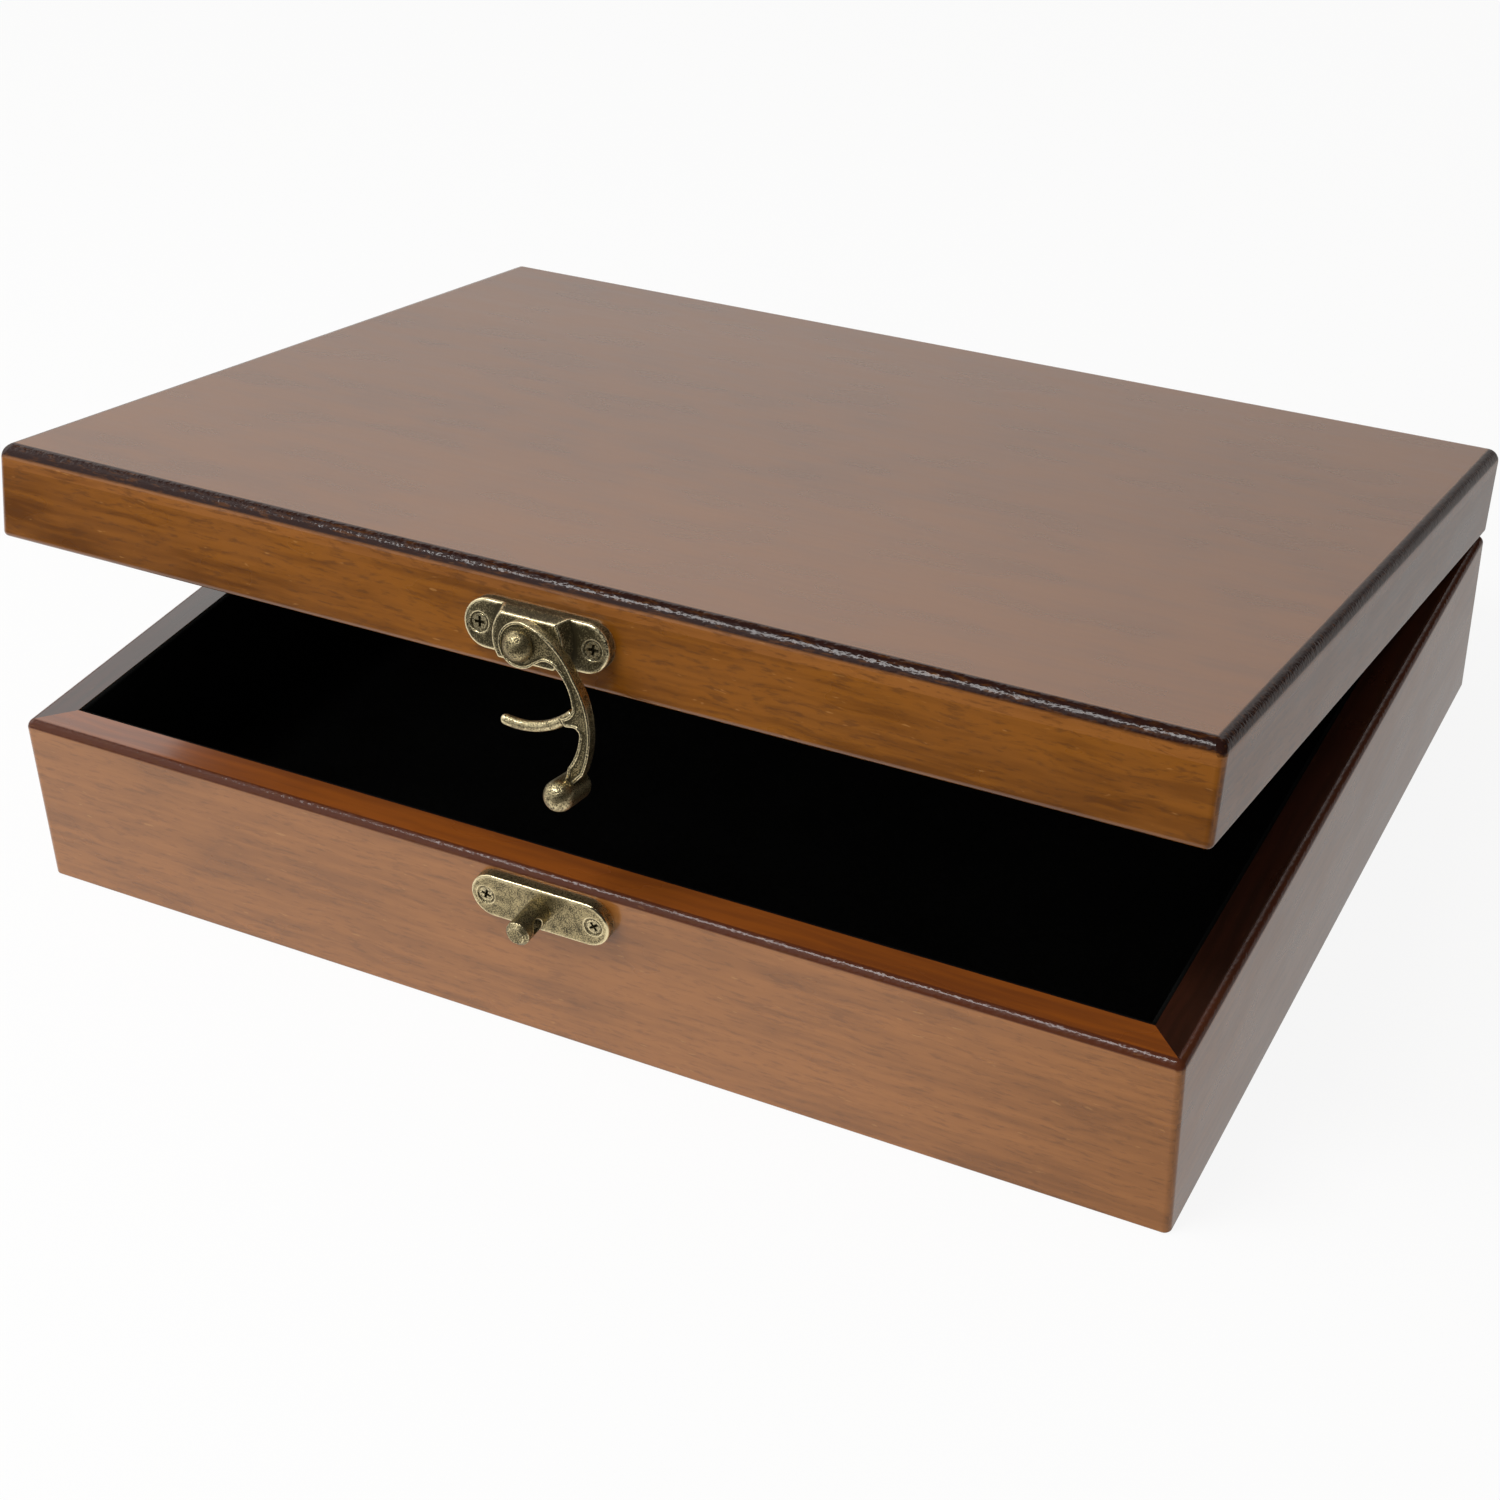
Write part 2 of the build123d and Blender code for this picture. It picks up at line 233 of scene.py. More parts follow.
# Each other pattern: where it lies, its cycles in a metre, its detail, offset and roughness, and
# the values between which its mask rises.
for label, lies_on, per_metre, detail, offset, roughness, low, high in (
    ("Drift", grain_spot, (5, 18, 18), 3.0, 23.0, 0.5, 0.30, 0.70),
    ("Cloud", grain_spot, (38, 95, 95), 2.0, 9.7, 0.5, 0.34, 0.66),
    ("Pore", wavy_spot, (190, 1150, 1150), 3.0, 17.3, 0.65, 0.50, 0.68),
    ("Fleck", wavy_spot, (260, 1100, 1100), 1.0, 31.9, 0.5, 0.72, 0.80),
):
    pattern = grain_noise(lies_on, per_metre, detail, offset, roughness)
    feed(grain_group, grain_out.inputs[label], soft_mask(grain_group, pattern, low, high))
print("grain group has", len(grain_group.nodes), "nodes")

# %% [markdown]
# ## Rounded edges
# The stain is much darker on the rounded edges along the top of the lid and round the base's rim,
# where it was sprayed on again and the cut fibres drank it. Those places are known by the way the
# surface faces: on a flat face the normal points along one axis, and on a rounded edge it points
# between two. The upright corners and the lower edges stay light, so only a normal that leans
# between level and upward counts.

# %% Build the edge group
edge_group, edge_in, edge_out = shader_group(
    "rounded_edge", [("Facing", "Vector", None)], [("Round", "Float"), ("Level", "Float")]
)
edge_math = partial(calc, edge_group)
facing = add(edge_group, "ShaderNodeSeparateXYZ", {0: edge_in.outputs["Facing"]})
upright = edge_math("ABSOLUTE", facing.outputs["Z"])
upright_squared = edge_math("MULTIPLY", upright, upright)
sideways = edge_math("SQRT", edge_math("SUBTRACT", 1.0, upright_squared, clamp=True))
lean = edge_math("MINIMUM", upright, sideways)
upward = soft_mask(edge_group, facing.outputs["Z"], 0.0, 0.05)
leaning_up = edge_math("MULTIPLY", soft_mask(edge_group, lean, 0.08, 0.30), upward)
feed(edge_group, edge_out.inputs["Round"], leaning_up)
feed(edge_group, edge_out.inputs["Level"], soft_mask(edge_group, facing.outputs["Z"], 0.90, 0.99))

# %% [markdown]
# ## Stained and lacquered wood
# The maker stained the wood brown and sprayed it with a satin lacquer. Over the flat faces the
# lacquer is smooth. On the rounded edges it dried with a fine pebbled skin that breaks a highlight
# into specks. One group works out the colour, the roughness, the smooth share of the lacquer and
# the height, and each board's material gives it the direction of its own grain.

# %% Build the stain group
stain_group, stain_in, stain_out = shader_group(
    "stained_wood",
    [
        ("Vector", "Vector", None),
        ("Facing", "Vector", None),
        ("Pale Stain", "Color", (0.275, 0.096, 0.013, 1)),
        ("Deep Stain", "Color", (0.185, 0.060, 0.006, 1)),
        ("Pore Stain", "Color", (0.100, 0.033, 0.005, 1)),
        ("Edge Stain", "Color", (0.022, 0.008, 0.006, 1)),
        # The rim's colour is painted shade from the lid over it.
        ("Rim Shade", "Color", (0.150, 0.045, 0.008, 1)),
        ("Rim", "Float", 0.0),
        ("Edge", "Float", 1.0),
        ("Pores", "Float", 0.6),
    ],
    [("Color", "Color"), ("Roughness", "Float"), ("Lacquer", "Float"), ("Height", "Float")],
)
stain_math = partial(calc, stain_group)
stain_blend = partial(blend_colour, stain_group)
stain_noise = partial(stretched_noise, stain_group, stain_in.outputs["Vector"])

# How strongly each part of the pattern shows, and what level faces and rounded edges lose of it.
drift_share, cloud_share, fleck_strength = 0.40, 0.5, 0.4
streak_floor = 0.2
level_streak_loss, level_pore_loss = 0.80, 0.9
edge_fleck_loss = 0.75
rim_shade_plainness = 0.55
fleck_colour = (0.46, 0.22, 0.06, 1)
# Roughness of a flat face, what clouds add to it and what a rounded edge takes off.
flat_roughness, cloud_roughness, edge_polish = 0.27, 0.06, 0.12
# Heights for the bump: pebbles on the edges, pores, and the faint waves of sprayed lacquer.
pebble_height, pore_height, wave_height = 2.2, -0.03, 0.04

grain = add(stain_group, "ShaderNodeGroup", node_tree=grain_group)
feed(stain_group, grain.inputs["Vector"], stain_in.outputs["Vector"])
edges = add(stain_group, "ShaderNodeGroup", node_tree=edge_group)
feed(stain_group, edges.inputs["Facing"], stain_in.outputs["Facing"])
level_face = edges.outputs["Level"]

# Streaks, drift and clouds set the tone of the open wood.
plain_share = stain_math("SUBTRACT", 1.0, stain_math("MULTIPLY", level_face, level_streak_loss))
drifted = stain_math("MULTIPLY", grain.outputs["Drift"], drift_share)
streaked = stain_math(
    "MULTIPLY", stain_math("SUBTRACT", grain.outputs["Streak"], streak_floor), plain_share)
streak_share = stain_math("ADD", drifted, streaked, clamp=True)
body_tone = stain_blend(
    streak_share, stain_in.outputs["Deep Stain"], stain_in.outputs["Pale Stain"])
clouded = stain_blend(
    stain_math("MULTIPLY", grain.outputs["Cloud"], cloud_share),
    body_tone,
    stain_in.outputs["Pale Stain"],
)

# The level rim's own colour is painted shade from the lid; the rounded edges have their own stain.
rim_shade_share = stain_math("MULTIPLY", level_face, stain_in.outputs["Rim"])
rim_shade_tone = stain_blend(
    grain.outputs["Streak"], stain_in.outputs["Rim Shade"], stain_in.outputs["Edge Stain"])
rim_shade_colour = stain_blend(rim_shade_plainness, rim_shade_tone, stain_in.outputs["Rim Shade"])
rim_shaded = stain_blend(rim_shade_share, clouded, rim_shade_colour)
edge_share = stain_math("MULTIPLY", edges.outputs["Round"], stain_in.outputs["Edge"])
edged = stain_blend(edge_share, rim_shaded, stain_in.outputs["Edge Stain"])

# Pores and flecks lie over everything.
pore_keep = stain_math("SUBTRACT", 1.0, stain_math("MULTIPLY", level_face, level_pore_loss))
pore_strength = stain_math("MULTIPLY", stain_in.outputs["Pores"], pore_keep)
pored = stain_blend(
    stain_math("MULTIPLY", grain.outputs["Pore"], pore_strength),
    edged,
    stain_in.outputs["Pore Stain"],
)
fleck_room = stain_math(
    "SUBTRACT", plain_share, stain_math("MULTIPLY", edge_share, edge_fleck_loss), clamp=True)
fleck_share = stain_math(
    "MULTIPLY", grain.outputs["Fleck"], stain_math("MULTIPLY", fleck_strength, fleck_room))
feed(stain_group, stain_out.inputs["Color"], stain_blend(fleck_share, pored, fleck_colour))

# The lacquer: smooth on the flat faces, pebbled on the rounded edges.
pebbles = stain_noise((850, 1100, 1100), detail=1.0, offset=3.3)
spray_waves = stain_noise((260, 330, 330), detail=1.0, offset=7.7)
face_roughness = stain_math(
    "ADD", flat_roughness, stain_math("MULTIPLY", grain.outputs["Cloud"], cloud_roughness))
feed(stain_group, stain_out.inputs["Roughness"], stain_math(
    "SUBTRACT", face_roughness, stain_math("MULTIPLY", edge_share, edge_polish)))
feed(stain_group, stain_out.inputs["Lacquer"], stain_math("SUBTRACT", 1.0, edge_share, clamp=True))
pebbled = stain_math(
    "MULTIPLY", pebbles, stain_math("MULTIPLY", edge_share, pebble_height))
pitted = stain_math("MULTIPLY", grain.outputs["Pore"], pore_height)
grained = stain_math("MULTIPLY", pitted, stain_math("SUBTRACT", 1.0, level_face))
waved = stain_math("MULTIPLY", spray_waves, wave_height)
feed(stain_group, stain_out.inputs["Height"],
     stain_math("ADD", pebbled, stain_math("ADD", grained, waved)))


# %% [markdown]
# ## One material for each way the grain runs
# The front and back boards have their grain along the box, the side boards have it across, and
# the lid's boards stand tilted with the lid. A Mapping node turns the object's own coordinates so
# that the grain always lies along the first axis. A second one turns the normals the same way, so
# the edge mask also works on the tilted lid.

# %% Make the wood materials
def new_material(name):
    """An empty node material and its shader."""
    material = bpy.data.materials.new(name)
    material.use_nodes = True
    tree = material.node_tree
    tree.nodes.clear()
    output = tree.nodes.new("ShaderNodeOutputMaterial")
    shader = tree.nodes.new("ShaderNodeBsdfPrincipled")
    tree.links.new(shader.outputs[0], output.inputs[0])
    return material, tree, shader


def lacquered_wood(name, tilt, across, stains):
    """Stained and lacquered wood, with its grain turned to suit the board, and its own stains with
    the painted light and shade they carry.
    """
    material, tree, shader = new_material(name)
    turn = (tilt, 0.0, math.radians(90) if across else 0.0)
    coordinates = tree.nodes.new("ShaderNodeTexCoord")
    place = add(tree, "ShaderNodeMapping", {
        "Vector": coordinates.outputs["Object"], "Rotation": turn})
    lie = add(tree, "ShaderNodeMapping", {
        "Vector": coordinates.outputs["Normal"], "Rotation": turn})
    lie.vector_type = "VECTOR"
    stain = add(tree, "ShaderNodeGroup", node_tree=stain_group)
    feed(tree, stain.inputs["Vector"], place.outputs[0])
    feed(tree, stain.inputs["Facing"], lie.outputs[0])
    for label, value in stains.items():
        stain.inputs[label].default_value = value
    feed(tree, shader.inputs["Base Color"], stain.outputs["Color"])
    feed(tree, shader.inputs["Roughness"], stain.outputs["Roughness"])
    feed(tree, shader.inputs["Coat Weight"], stain.outputs["Lacquer"])
    shader.inputs["Coat Roughness"].default_value = 0.16
    shader.inputs["IOR"].default_value = 1.55
    shader.inputs["Specular IOR Level"].default_value = 0.27
    bump = add(tree, "ShaderNodeBump", {"Height": stain.outputs["Height"], "Strength": 0.5})
    bump.inputs["Distance"].default_value = 0.12 * MM
    feed(tree, shader.inputs["Normal"], bump.outputs[0])
    return material


# The base's stains are paler than the lid's, though both are one wood: painted light on the base.
base_stain_and_painted_light = {
    "Pale Stain": (0.335, 0.126, 0.026, 1), "Deep Stain": (0.215, 0.077, 0.013, 1),
    "Edge Stain": (0.070, 0.018, 0.009, 1), "Edge": 0.95, "Pores": 0.35,
}
lid_stain = {"Pale Stain": (0.235, 0.078, 0.004, 1), "Deep Stain": (0.108, 0.032, 0.001, 1)}
# Rim colours are painted shade from the lid: nearly black on the side boards, darker and redder at
# the front.
front_rim_shade = {"Rim": 1.0, "Rim Shade": (0.270, 0.072, 0.010, 1)}
side_rim_shade = {"Rim": 1.0, "Rim Shade": (0.024, 0.008, 0.004, 1)}
wood = {
    "base_along": lacquered_wood("wood_base_along", 0.0, False, base_stain_and_painted_light | front_rim_shade),
    "base_across": lacquered_wood("wood_base_across", 0.0, True, base_stain_and_painted_light | side_rim_shade),
    "base_bottom": lacquered_wood("wood_base_bottom", 0.0, False, base_stain_and_painted_light | {"Edge": 0.0}),
    "lid_along": lacquered_wood("wood_lid_along", lid_open, False, lid_stain),
    "lid_across": lacquered_wood("wood_lid_across", lid_open, True, lid_stain),
    "lid_panel": lacquered_wood("wood_lid_panel", lid_open, False, {}),
}
wood_of = {"base_bottom_panel": "base_bottom", "lid_top_panel": "lid_panel"}
for body in ("base", "lid"):
    for side in ("front", "back", "left", "right"):
        direction = "across" if side in ("left", "right") else "along"
        wood_of[f"{body}_{side}_board"] = f"{body}_{direction}"


def dress(piece, material):
    """Give a piece one material over all of its faces."""
    piece.data.materials.clear()
    piece.data.materials.append(material)


for node, kind in wood_of.items():
    dress(nodes[node], wood[kind])
print("boards and panels finished:", len(wood_of))

# %% [markdown]
# ## Black felt
# The inside is lined with short black felt, cut to ten pieces and glued in. Felt has a soft, very
# slightly uneven face and its cut edges are rounded over. A flat slab would look like card, so
# each sheet is a grid whose border rows fall away in a small curve and whose face waves by a few
# hundredths of a millimetre. Close rows are needed only at the border, so the grid is uneven.

# %% Make the felt material
felt_group, felt_in, felt_out = shader_group(
    "felt_nap", [("Vector", "Vector", None)], [("Fibre", "Float"), ("Patch", "Float")]
)
felt_noise = partial(stretched_noise, felt_group, felt_in.outputs["Vector"])
fibre = felt_noise((3000, 3000, 3000), detail=3.0, offset=2.0, roughness=0.7)
feed(felt_group, felt_out.inputs["Fibre"], soft_mask(felt_group, fibre, 0.35, 0.70))
patch = felt_noise((55, 55, 55), detail=2.0, offset=6.0)
feed(felt_group, felt_out.inputs["Patch"], soft_mask(felt_group, patch, 0.35, 0.65))

# Both tones lie below real black felt: the felt is black, made darker still as painted shade inside
# the box.
shaded_felt_dark, shaded_felt_pale = (0.0012, 0.0013, 0.0012, 1), (0.0055, 0.0058, 0.0055, 1)
fibre_share, patch_share = 0.7, 0.3
felt, felt_tree, felt_shader = new_material("black_felt_and_painted_shade")
felt_math = partial(calc, felt_tree)
felt_spot = felt_tree.nodes.new("ShaderNodeTexCoord")
nap = add(felt_tree, "ShaderNodeGroup", node_tree=felt_group)
feed(felt_tree, nap.inputs["Vector"], felt_spot.outputs["Object"])
nap_share = felt_math("ADD", felt_math("MULTIPLY", nap.outputs["Fibre"], fibre_share),
                      felt_math("MULTIPLY", nap.outputs["Patch"], patch_share))
feed(felt_tree, felt_shader.inputs["Base Color"],
     blend_colour(felt_tree, nap_share, shaded_felt_dark, shaded_felt_pale))
felt_shader.inputs["Roughness"].default_value = 1.0
felt_shader.inputs["Specular IOR Level"].default_value = 0.05
felt_shader.inputs["Sheen Weight"].default_value = 0.01
felt_shader.inputs["Sheen Roughness"].default_value = 0.6
felt_bump = add(felt_tree, "ShaderNodeBump", {"Height": nap.outputs["Fibre"], "Strength": 0.7})
felt_bump.inputs["Distance"].default_value = 0.15 * MM
feed(felt_tree, felt_shader.inputs["Normal"], felt_bump.outputs[0])


# %% Cut and lay the felt sheets
felt_edge_round = 0.7 * MM
felt_border_rows = (0.0, 0.06, 0.22, 0.5, 1.0)
felt_cut_height, felt_curve_height = 0.45, 0.55
felt_step = 4.0 * MM
felt_wave = 0.07 * MM
felt_waves_per_metre = 90.0


def grid_line(length):
    """Row places from one border to the other: close together at the rounded border."""
    border = [felt_edge_round * share for share in felt_border_rows]
    count = max(2, round((length - 2 * felt_edge_round) / felt_step))
    inner = np.linspace(felt_edge_round, length - felt_edge_round, count + 1)[1:-1]
    return border + list(inner) + [length - place for place in reversed(border)]


def felt_height(u, v, size, thick):
    """How far the felt's face stands off its glue side at one spot."""
    border = min(u, v, size[0] - u, size[1] - v)
    fall = 1 - min(1.0, border / felt_edge_round)
    curve = felt_cut_height + felt_curve_height * math.sqrt(1 - fall * fall)
    wave = noise.noise(Vector((u, v, size[0])) * felt_waves_per_metre) * 0.5 + 0.5
    return thick * curve - felt_wave * wave * (1 - fall)


def felt_sheet(node, body, thin, out):
    """One felt sheet in the space of its solid: thin is the thin axis, out its face's direction."""
    low, high = shut_box(node, body)
    wide, tall = [axis for axis in range(3) if axis != thin]
    size = (high[wide] - low[wide], high[tall] - low[tall])
    thick = high[thin] - low[thin]
    glue = low[thin] if out > 0 else high[thin]
    mesh = bmesh.new()
    sides = []
    for face in (0, 1):
        rows = []
        for u in grid_line(size[0]):
            row = []
            for v in grid_line(size[1]):
                spot = Vector()
                spot[wide] = low[wide] + u
                spot[tall] = low[tall] + v
                spot[thin] = glue + face * out * felt_height(u, v, size, thick)
                row.append(mesh.verts.new(shut[body].inverted() @ spot))
            rows.append(row)
        sides.append(rows)
    back, front = sides
    last_u, last_v = len(front) - 1, len(front[0]) - 1
    for rows in sides:
        for i in range(last_u):
            for j in range(last_v):
                mesh.faces.new((rows[i][j], rows[i + 1][j], rows[i + 1][j + 1], rows[i][j + 1]))
    rim = [(i, 0) for i in range(last_u)] + [(last_u, j) for j in range(last_v)]
    rim += [(i, last_v) for i in range(last_u, 0, -1)] + [(0, j) for j in range(last_v, 0, -1)]
    for (i, j), (k, m) in zip(rim, rim[1:] + rim[:1]):
        mesh.faces.new((back[i][j], back[k][m], front[k][m], front[i][j]))
    bmesh.ops.recalc_face_normals(mesh, faces=mesh.faces)
    data = bpy.data.meshes.new(node + "_sheet")
    mesh.to_mesh(data)
    mesh.free()
    data.shade_smooth()
    piece = link(node + "_sheet", data)
    dress(piece, felt)
    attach(piece, body)
    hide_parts(node)
    return piece, size


felt_cuts = {}
for body, panel in (("base", "bottom_panel"), ("lid", "top_panel")):
    level = "base_floor_felt" if body == "base" else "lid_ceiling_felt"
    piece, size = felt_sheet(level, body, 2, 1 if body == "base" else -1)
    felt_cuts[level] = size
    for side, thin, out in (("front", 1, 1), ("back", 1, -1), ("left", 0, 1), ("right", 0, -1)):
        piece, size = felt_sheet(f"{body}_{side}_felt", body, thin, out)
        felt_cuts[f"{body}_{side}_felt"] = size
for name, size in felt_cuts.items():
    print(name, "cut to", [round(1000 * length, 1) for length in size], "mm")

# %% [markdown]
# ## Antique brass
# The latch is cast, plated and then aged: dark in the recesses, speckled on the faces, and rubbed
# bright along every edge that a thumb meets. The material needs to know where those edges are.
# So each cast piece carries a number at every point, called rub, which is high on ridges and low in
# hollows, and this group turns it into colour and roughness.

# %% Build the aged brass group
brass_group, brass_in, brass_out = shader_group(
    "aged_brass",
    [
        ("Vector", "Vector", None),
        ("Rub", "Float", 0.0),
        ("Age", "Float", 0.4),
        ("Bright", "Color", (0.90, 0.78, 0.48, 1)),
        ("Plain", "Color", (0.58, 0.48, 0.26, 1)),
        ("Dark", "Color", (0.045, 0.035, 0.013, 1)),
    ],
    [("Color", "Color"), ("Roughness", "Float"), ("Metallic", "Float"), ("Height", "Float")],
)
brass_math = partial(calc, brass_group)
brass_noise = partial(stretched_noise, brass_group, brass_in.outputs["Vector"])
speck_share, blotch_share = 0.8, 0.2
# How far the mottle sways the grime and the rubbed places, and what grime takes off the metal.
grime_sway, rub_sway, grime_metal_loss = 1.1, 0.5, 0.45
# Roughness of clean metal, what grime adds to it and what rubbing takes off.
clean_roughness, grime_roughness, rub_polish = 0.29, 0.16, 0.14

speck = brass_noise((3600, 3600, 3600), detail=3.0, offset=1.7, roughness=0.7)
blotch = brass_noise((600, 600, 600), detail=2.0, offset=8.1)
mixed = brass_math("ADD", brass_math("MULTIPLY", speck, speck_share),
                   brass_math("MULTIPLY", blotch, blotch_share))
mottle = soft_mask(brass_group, mixed, 0.40, 0.60)
uneven = brass_math("SUBTRACT", mottle, 0.5)
grime = brass_math(
    "SUBTRACT", brass_math("MULTIPLY", uneven, grime_sway), brass_in.outputs["Rub"])
aged = brass_math("ADD", grime, brass_in.outputs["Age"])
dark_share = soft_mask(brass_group, aged, 0.10, 0.85)
rubbed = brass_math(
    "SUBTRACT", brass_in.outputs["Rub"], brass_math("MULTIPLY", uneven, rub_sway))
bright_share = soft_mask(brass_group, rubbed, 0.24, 0.66)
plain_tone = blend_colour(
    brass_group, dark_share, brass_in.outputs["Plain"], brass_in.outputs["Dark"])
feed(brass_group, brass_out.inputs["Color"],
     blend_colour(brass_group, bright_share, plain_tone, brass_in.outputs["Bright"]))
feed(brass_group, brass_out.inputs["Metallic"], brass_math(
    "SUBTRACT", 1.0, brass_math("MULTIPLY", dark_share, grime_metal_loss)))
dull = brass_math("ADD", clean_roughness, brass_math("MULTIPLY", dark_share, grime_roughness))
feed(brass_group, brass_out.inputs["Roughness"], brass_math(
    "SUBTRACT", dull, brass_math("MULTIPLY", bright_share, rub_polish)))
feed(brass_group, brass_out.inputs["Height"], brass_math(
    "MULTIPLY", mottle, brass_math("SUBTRACT", 1.0, bright_share)))


def aged_brass(name, age):
    """Antique brass: the higher its age, the darker it is."""
    material, tree, shader = new_material(name)
    coordinates = tree.nodes.new("ShaderNodeTexCoord")
    rub = add(tree, "ShaderNodeAttribute", attribute_name="rub")
    brass = add(tree, "ShaderNodeGroup", node_tree=brass_group)
    feed(tree, brass.inputs["Vector"], coordinates.outputs["Object"])
    feed(tree, brass.inputs["Rub"], rub.outputs["Fac"])
    brass.inputs["Age"].default_value = age
    feed(tree, shader.inputs["Base Color"], brass.outputs["Color"])
    feed(tree, shader.inputs["Roughness"], brass.outputs["Roughness"])
    feed(tree, shader.inputs["Metallic"], brass.outputs["Metallic"])
    bump = add(tree, "ShaderNodeBump", {"Height": brass.outputs["Height"], "Strength": 0.35})
    bump.inputs["Distance"].default_value = 0.06 * MM
    feed(tree, shader.inputs["Normal"], bump.outputs[0])
    return material


# %% [markdown]
# ## Cast pieces
# A casting has no sharp edges: the sand or the mould rounds them all. The measured solids have the
# right size but crisp edges, so each one is copied, merged, rebuilt as an even skin of tiny faces
# with a voxel remesh, and relaxed a little. The even skin also makes it easy to find the ridges:
# average each point with its neighbours many times, and see how far the point stood out of that.

# %% Helpers for cast pieces
weld_distance = 0.5e-6
skin_ease, skin_ease_rounds = 0.5, 3
# Rounds of averaging for fine and broad relief, how far a point has to stand out to count as fully
# rubbed in each, and how much each counts.
fine_rounds, broad_rounds = 4, 80
fine_relief, broad_relief = 0.030 * MM, 0.150 * MM
ridge_share, rise_share = 0.6, 0.4


def merged_mesh(node):
    """A copy of a measured part with its loose triangles joined into a closed skin."""
    mesh = bmesh.new()
    mesh.from_mesh(nodes[node].data)
    bmesh.ops.remove_doubles(mesh, verts=mesh.verts, dist=weld_distance)
    spots = [v.co.copy() for v in mesh.verts]
    faces = [[v.index for v in face.verts] for face in mesh.faces]
    mesh.free()
    data = bpy.data.meshes.new(node + "_cast")
    data.from_pydata(spots, [], faces)
    return data


def relaxed(spots, first, second, rounds):
    """Points averaged with their neighbours a number of times."""
    count = np.bincount(first, minlength=len(spots)) + np.bincount(second, minlength=len(spots))
    for _ in range(rounds):
        total = np.empty_like(spots)
        for axis in range(3):
            total[:, axis] = np.bincount(first, spots[second, axis], len(spots))
            total[:, axis] += np.bincount(second, spots[first, axis], len(spots))
        spots = 0.5 * spots + 0.5 * total / count[:, None]
    return spots


def store_rub(data):
    """Keep at every point how far it stands out of its surroundings, from -1 to 1."""
    spots = np.empty(3 * len(data.vertices))
    data.vertices.foreach_get("co", spots)
    spots = spots.reshape(-1, 3)
    normals = np.empty(3 * len(data.vertices))
    data.vertices.foreach_get("normal", normals)
    normals = normals.reshape(-1, 3)
    ends = np.empty(2 * len(data.edges), dtype=np.int32)
    data.edges.foreach_get("vertices", ends)
    first, second = ends[0::2], ends[1::2]
    fine = relaxed(spots, first, second, fine_rounds)
    broad = relaxed(fine, first, second, broad_rounds - fine_rounds)
    ridge = ((spots - fine) * normals).sum(1) / fine_relief
    rise = ((spots - broad) * normals).sum(1) / broad_relief
    rub = np.clip(ridge_share * ridge + rise_share * rise, -1, 1).astype(np.float32)
    data.attributes.new("rub", "FLOAT", "POINT").data.foreach_set("value", rub)


def cast_piece(node, body, material, voxel):
    """A cast piece that stands for a measured part, with its ridges marked."""
    rough = link(node + "_rough", merged_mesh(node))
    remesh = rough.modifiers.new("even_skin", "REMESH")
    remesh.mode = "VOXEL"
    remesh.voxel_size = voxel
    ease = rough.modifiers.new("ease", "SMOOTH")
    ease.factor = skin_ease
    ease.iterations = skin_ease_rounds
    depsgraph = bpy.context.evaluated_depsgraph_get()
    data = bpy.data.meshes.new_from_object(rough.evaluated_get(depsgraph))
    bpy.data.objects.remove(rough)
    data.name = node + "_cast"
    data.shade_smooth()
    store_rub(data)
    piece = link(node + "_cast", data)
    dress(piece, material)
    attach(piece, body)
    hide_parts(node)
    print(node, "cast with", sum(len(p.vertices) - 2 for p in data.polygons), "triangles")


# %% Cast the latch
catch_brass = aged_brass("catch_brass", 0.50)
# The latch plate is aged darkest: its patina, made darker still as painted shade round its screws.
latch_brass_and_shade = aged_brass("latch_brass_and_shade", 1.05)
hook_brass = aged_brass("hook_brass", 0.62)
cast_piece("catch_plate", "base", catch_brass, voxel=0.15 * MM)
cast_piece("catch_post", "base", hook_brass, voxel=0.10 * MM)
cast_piece("latch_plate", "lid", latch_brass_and_shade, voxel=0.16 * MM)
cast_piece("latch_rivet", "lid", hook_brass, voxel=0.10 * MM)
cast_piece("latch_hook", "hook", hook_brass, voxel=0.14 * MM)

# %% [markdown]
# ## Cross-head screws
# Four screws hold the latch and eight hold the hinges. They are all the same form at two sizes, so
# one Geometry Nodes tree makes the screw from its sizes and stands a copy on each point it is
# given, turned about its own axis by a seeded random angle, since no two screws stop at the same
# place. The cross is cut with a Boolean, and the tree marks the recess dark and the rim bright.

# %% Build the screw tree
screw_tree = bpy.data.node_groups.new("cross_head_screws", "GeometryNodeTree")
screw_tree.interface.new_socket("Geometry", in_out="OUTPUT", socket_type="NodeSocketGeometry")
screw_tree.interface.new_socket("Geometry", in_out="INPUT", socket_type="NodeSocketGeometry")
for label, kind in (
    ("Head Radius", "Float"), ("Shank Radius", "Float"), ("Length", "Float"), ("Rim", "Float"),
    ("Cross Reach", "Float"), ("Cross Width", "Float"), ("Cross Depth", "Float"),
    ("Aim", "Vector"), ("Seed", "Int"), ("Material", "Material"),
):
    screw_tree.interface.new_socket(label, in_out="INPUT", socket_type="NodeSocket" + kind)
given = screw_tree.nodes.new("NodeGroupInput").outputs
made = screw_tree.nodes.new("NodeGroupOutput").inputs
number = partial(calc, screw_tree)
ring_sides = 48


def ring(top, bottom, height, base):
    """A ring of the screw: a cone between two radii, that starts at a height."""
    cone = add(screw_tree, "GeometryNodeMeshCone", {
        "Vertices": ring_sides, "Radius Top": top, "Radius Bottom": bottom, "Depth": height})
    cone.fill_type = "NGON"
    lift = add(screw_tree, "ShaderNodeCombineXYZ", {"Z": base})
    moved = add(screw_tree, "GeometryNodeTransform", {
        "Geometry": cone.outputs["Mesh"], "Translation": lift.outputs[0]})
    return moved.outputs[0]


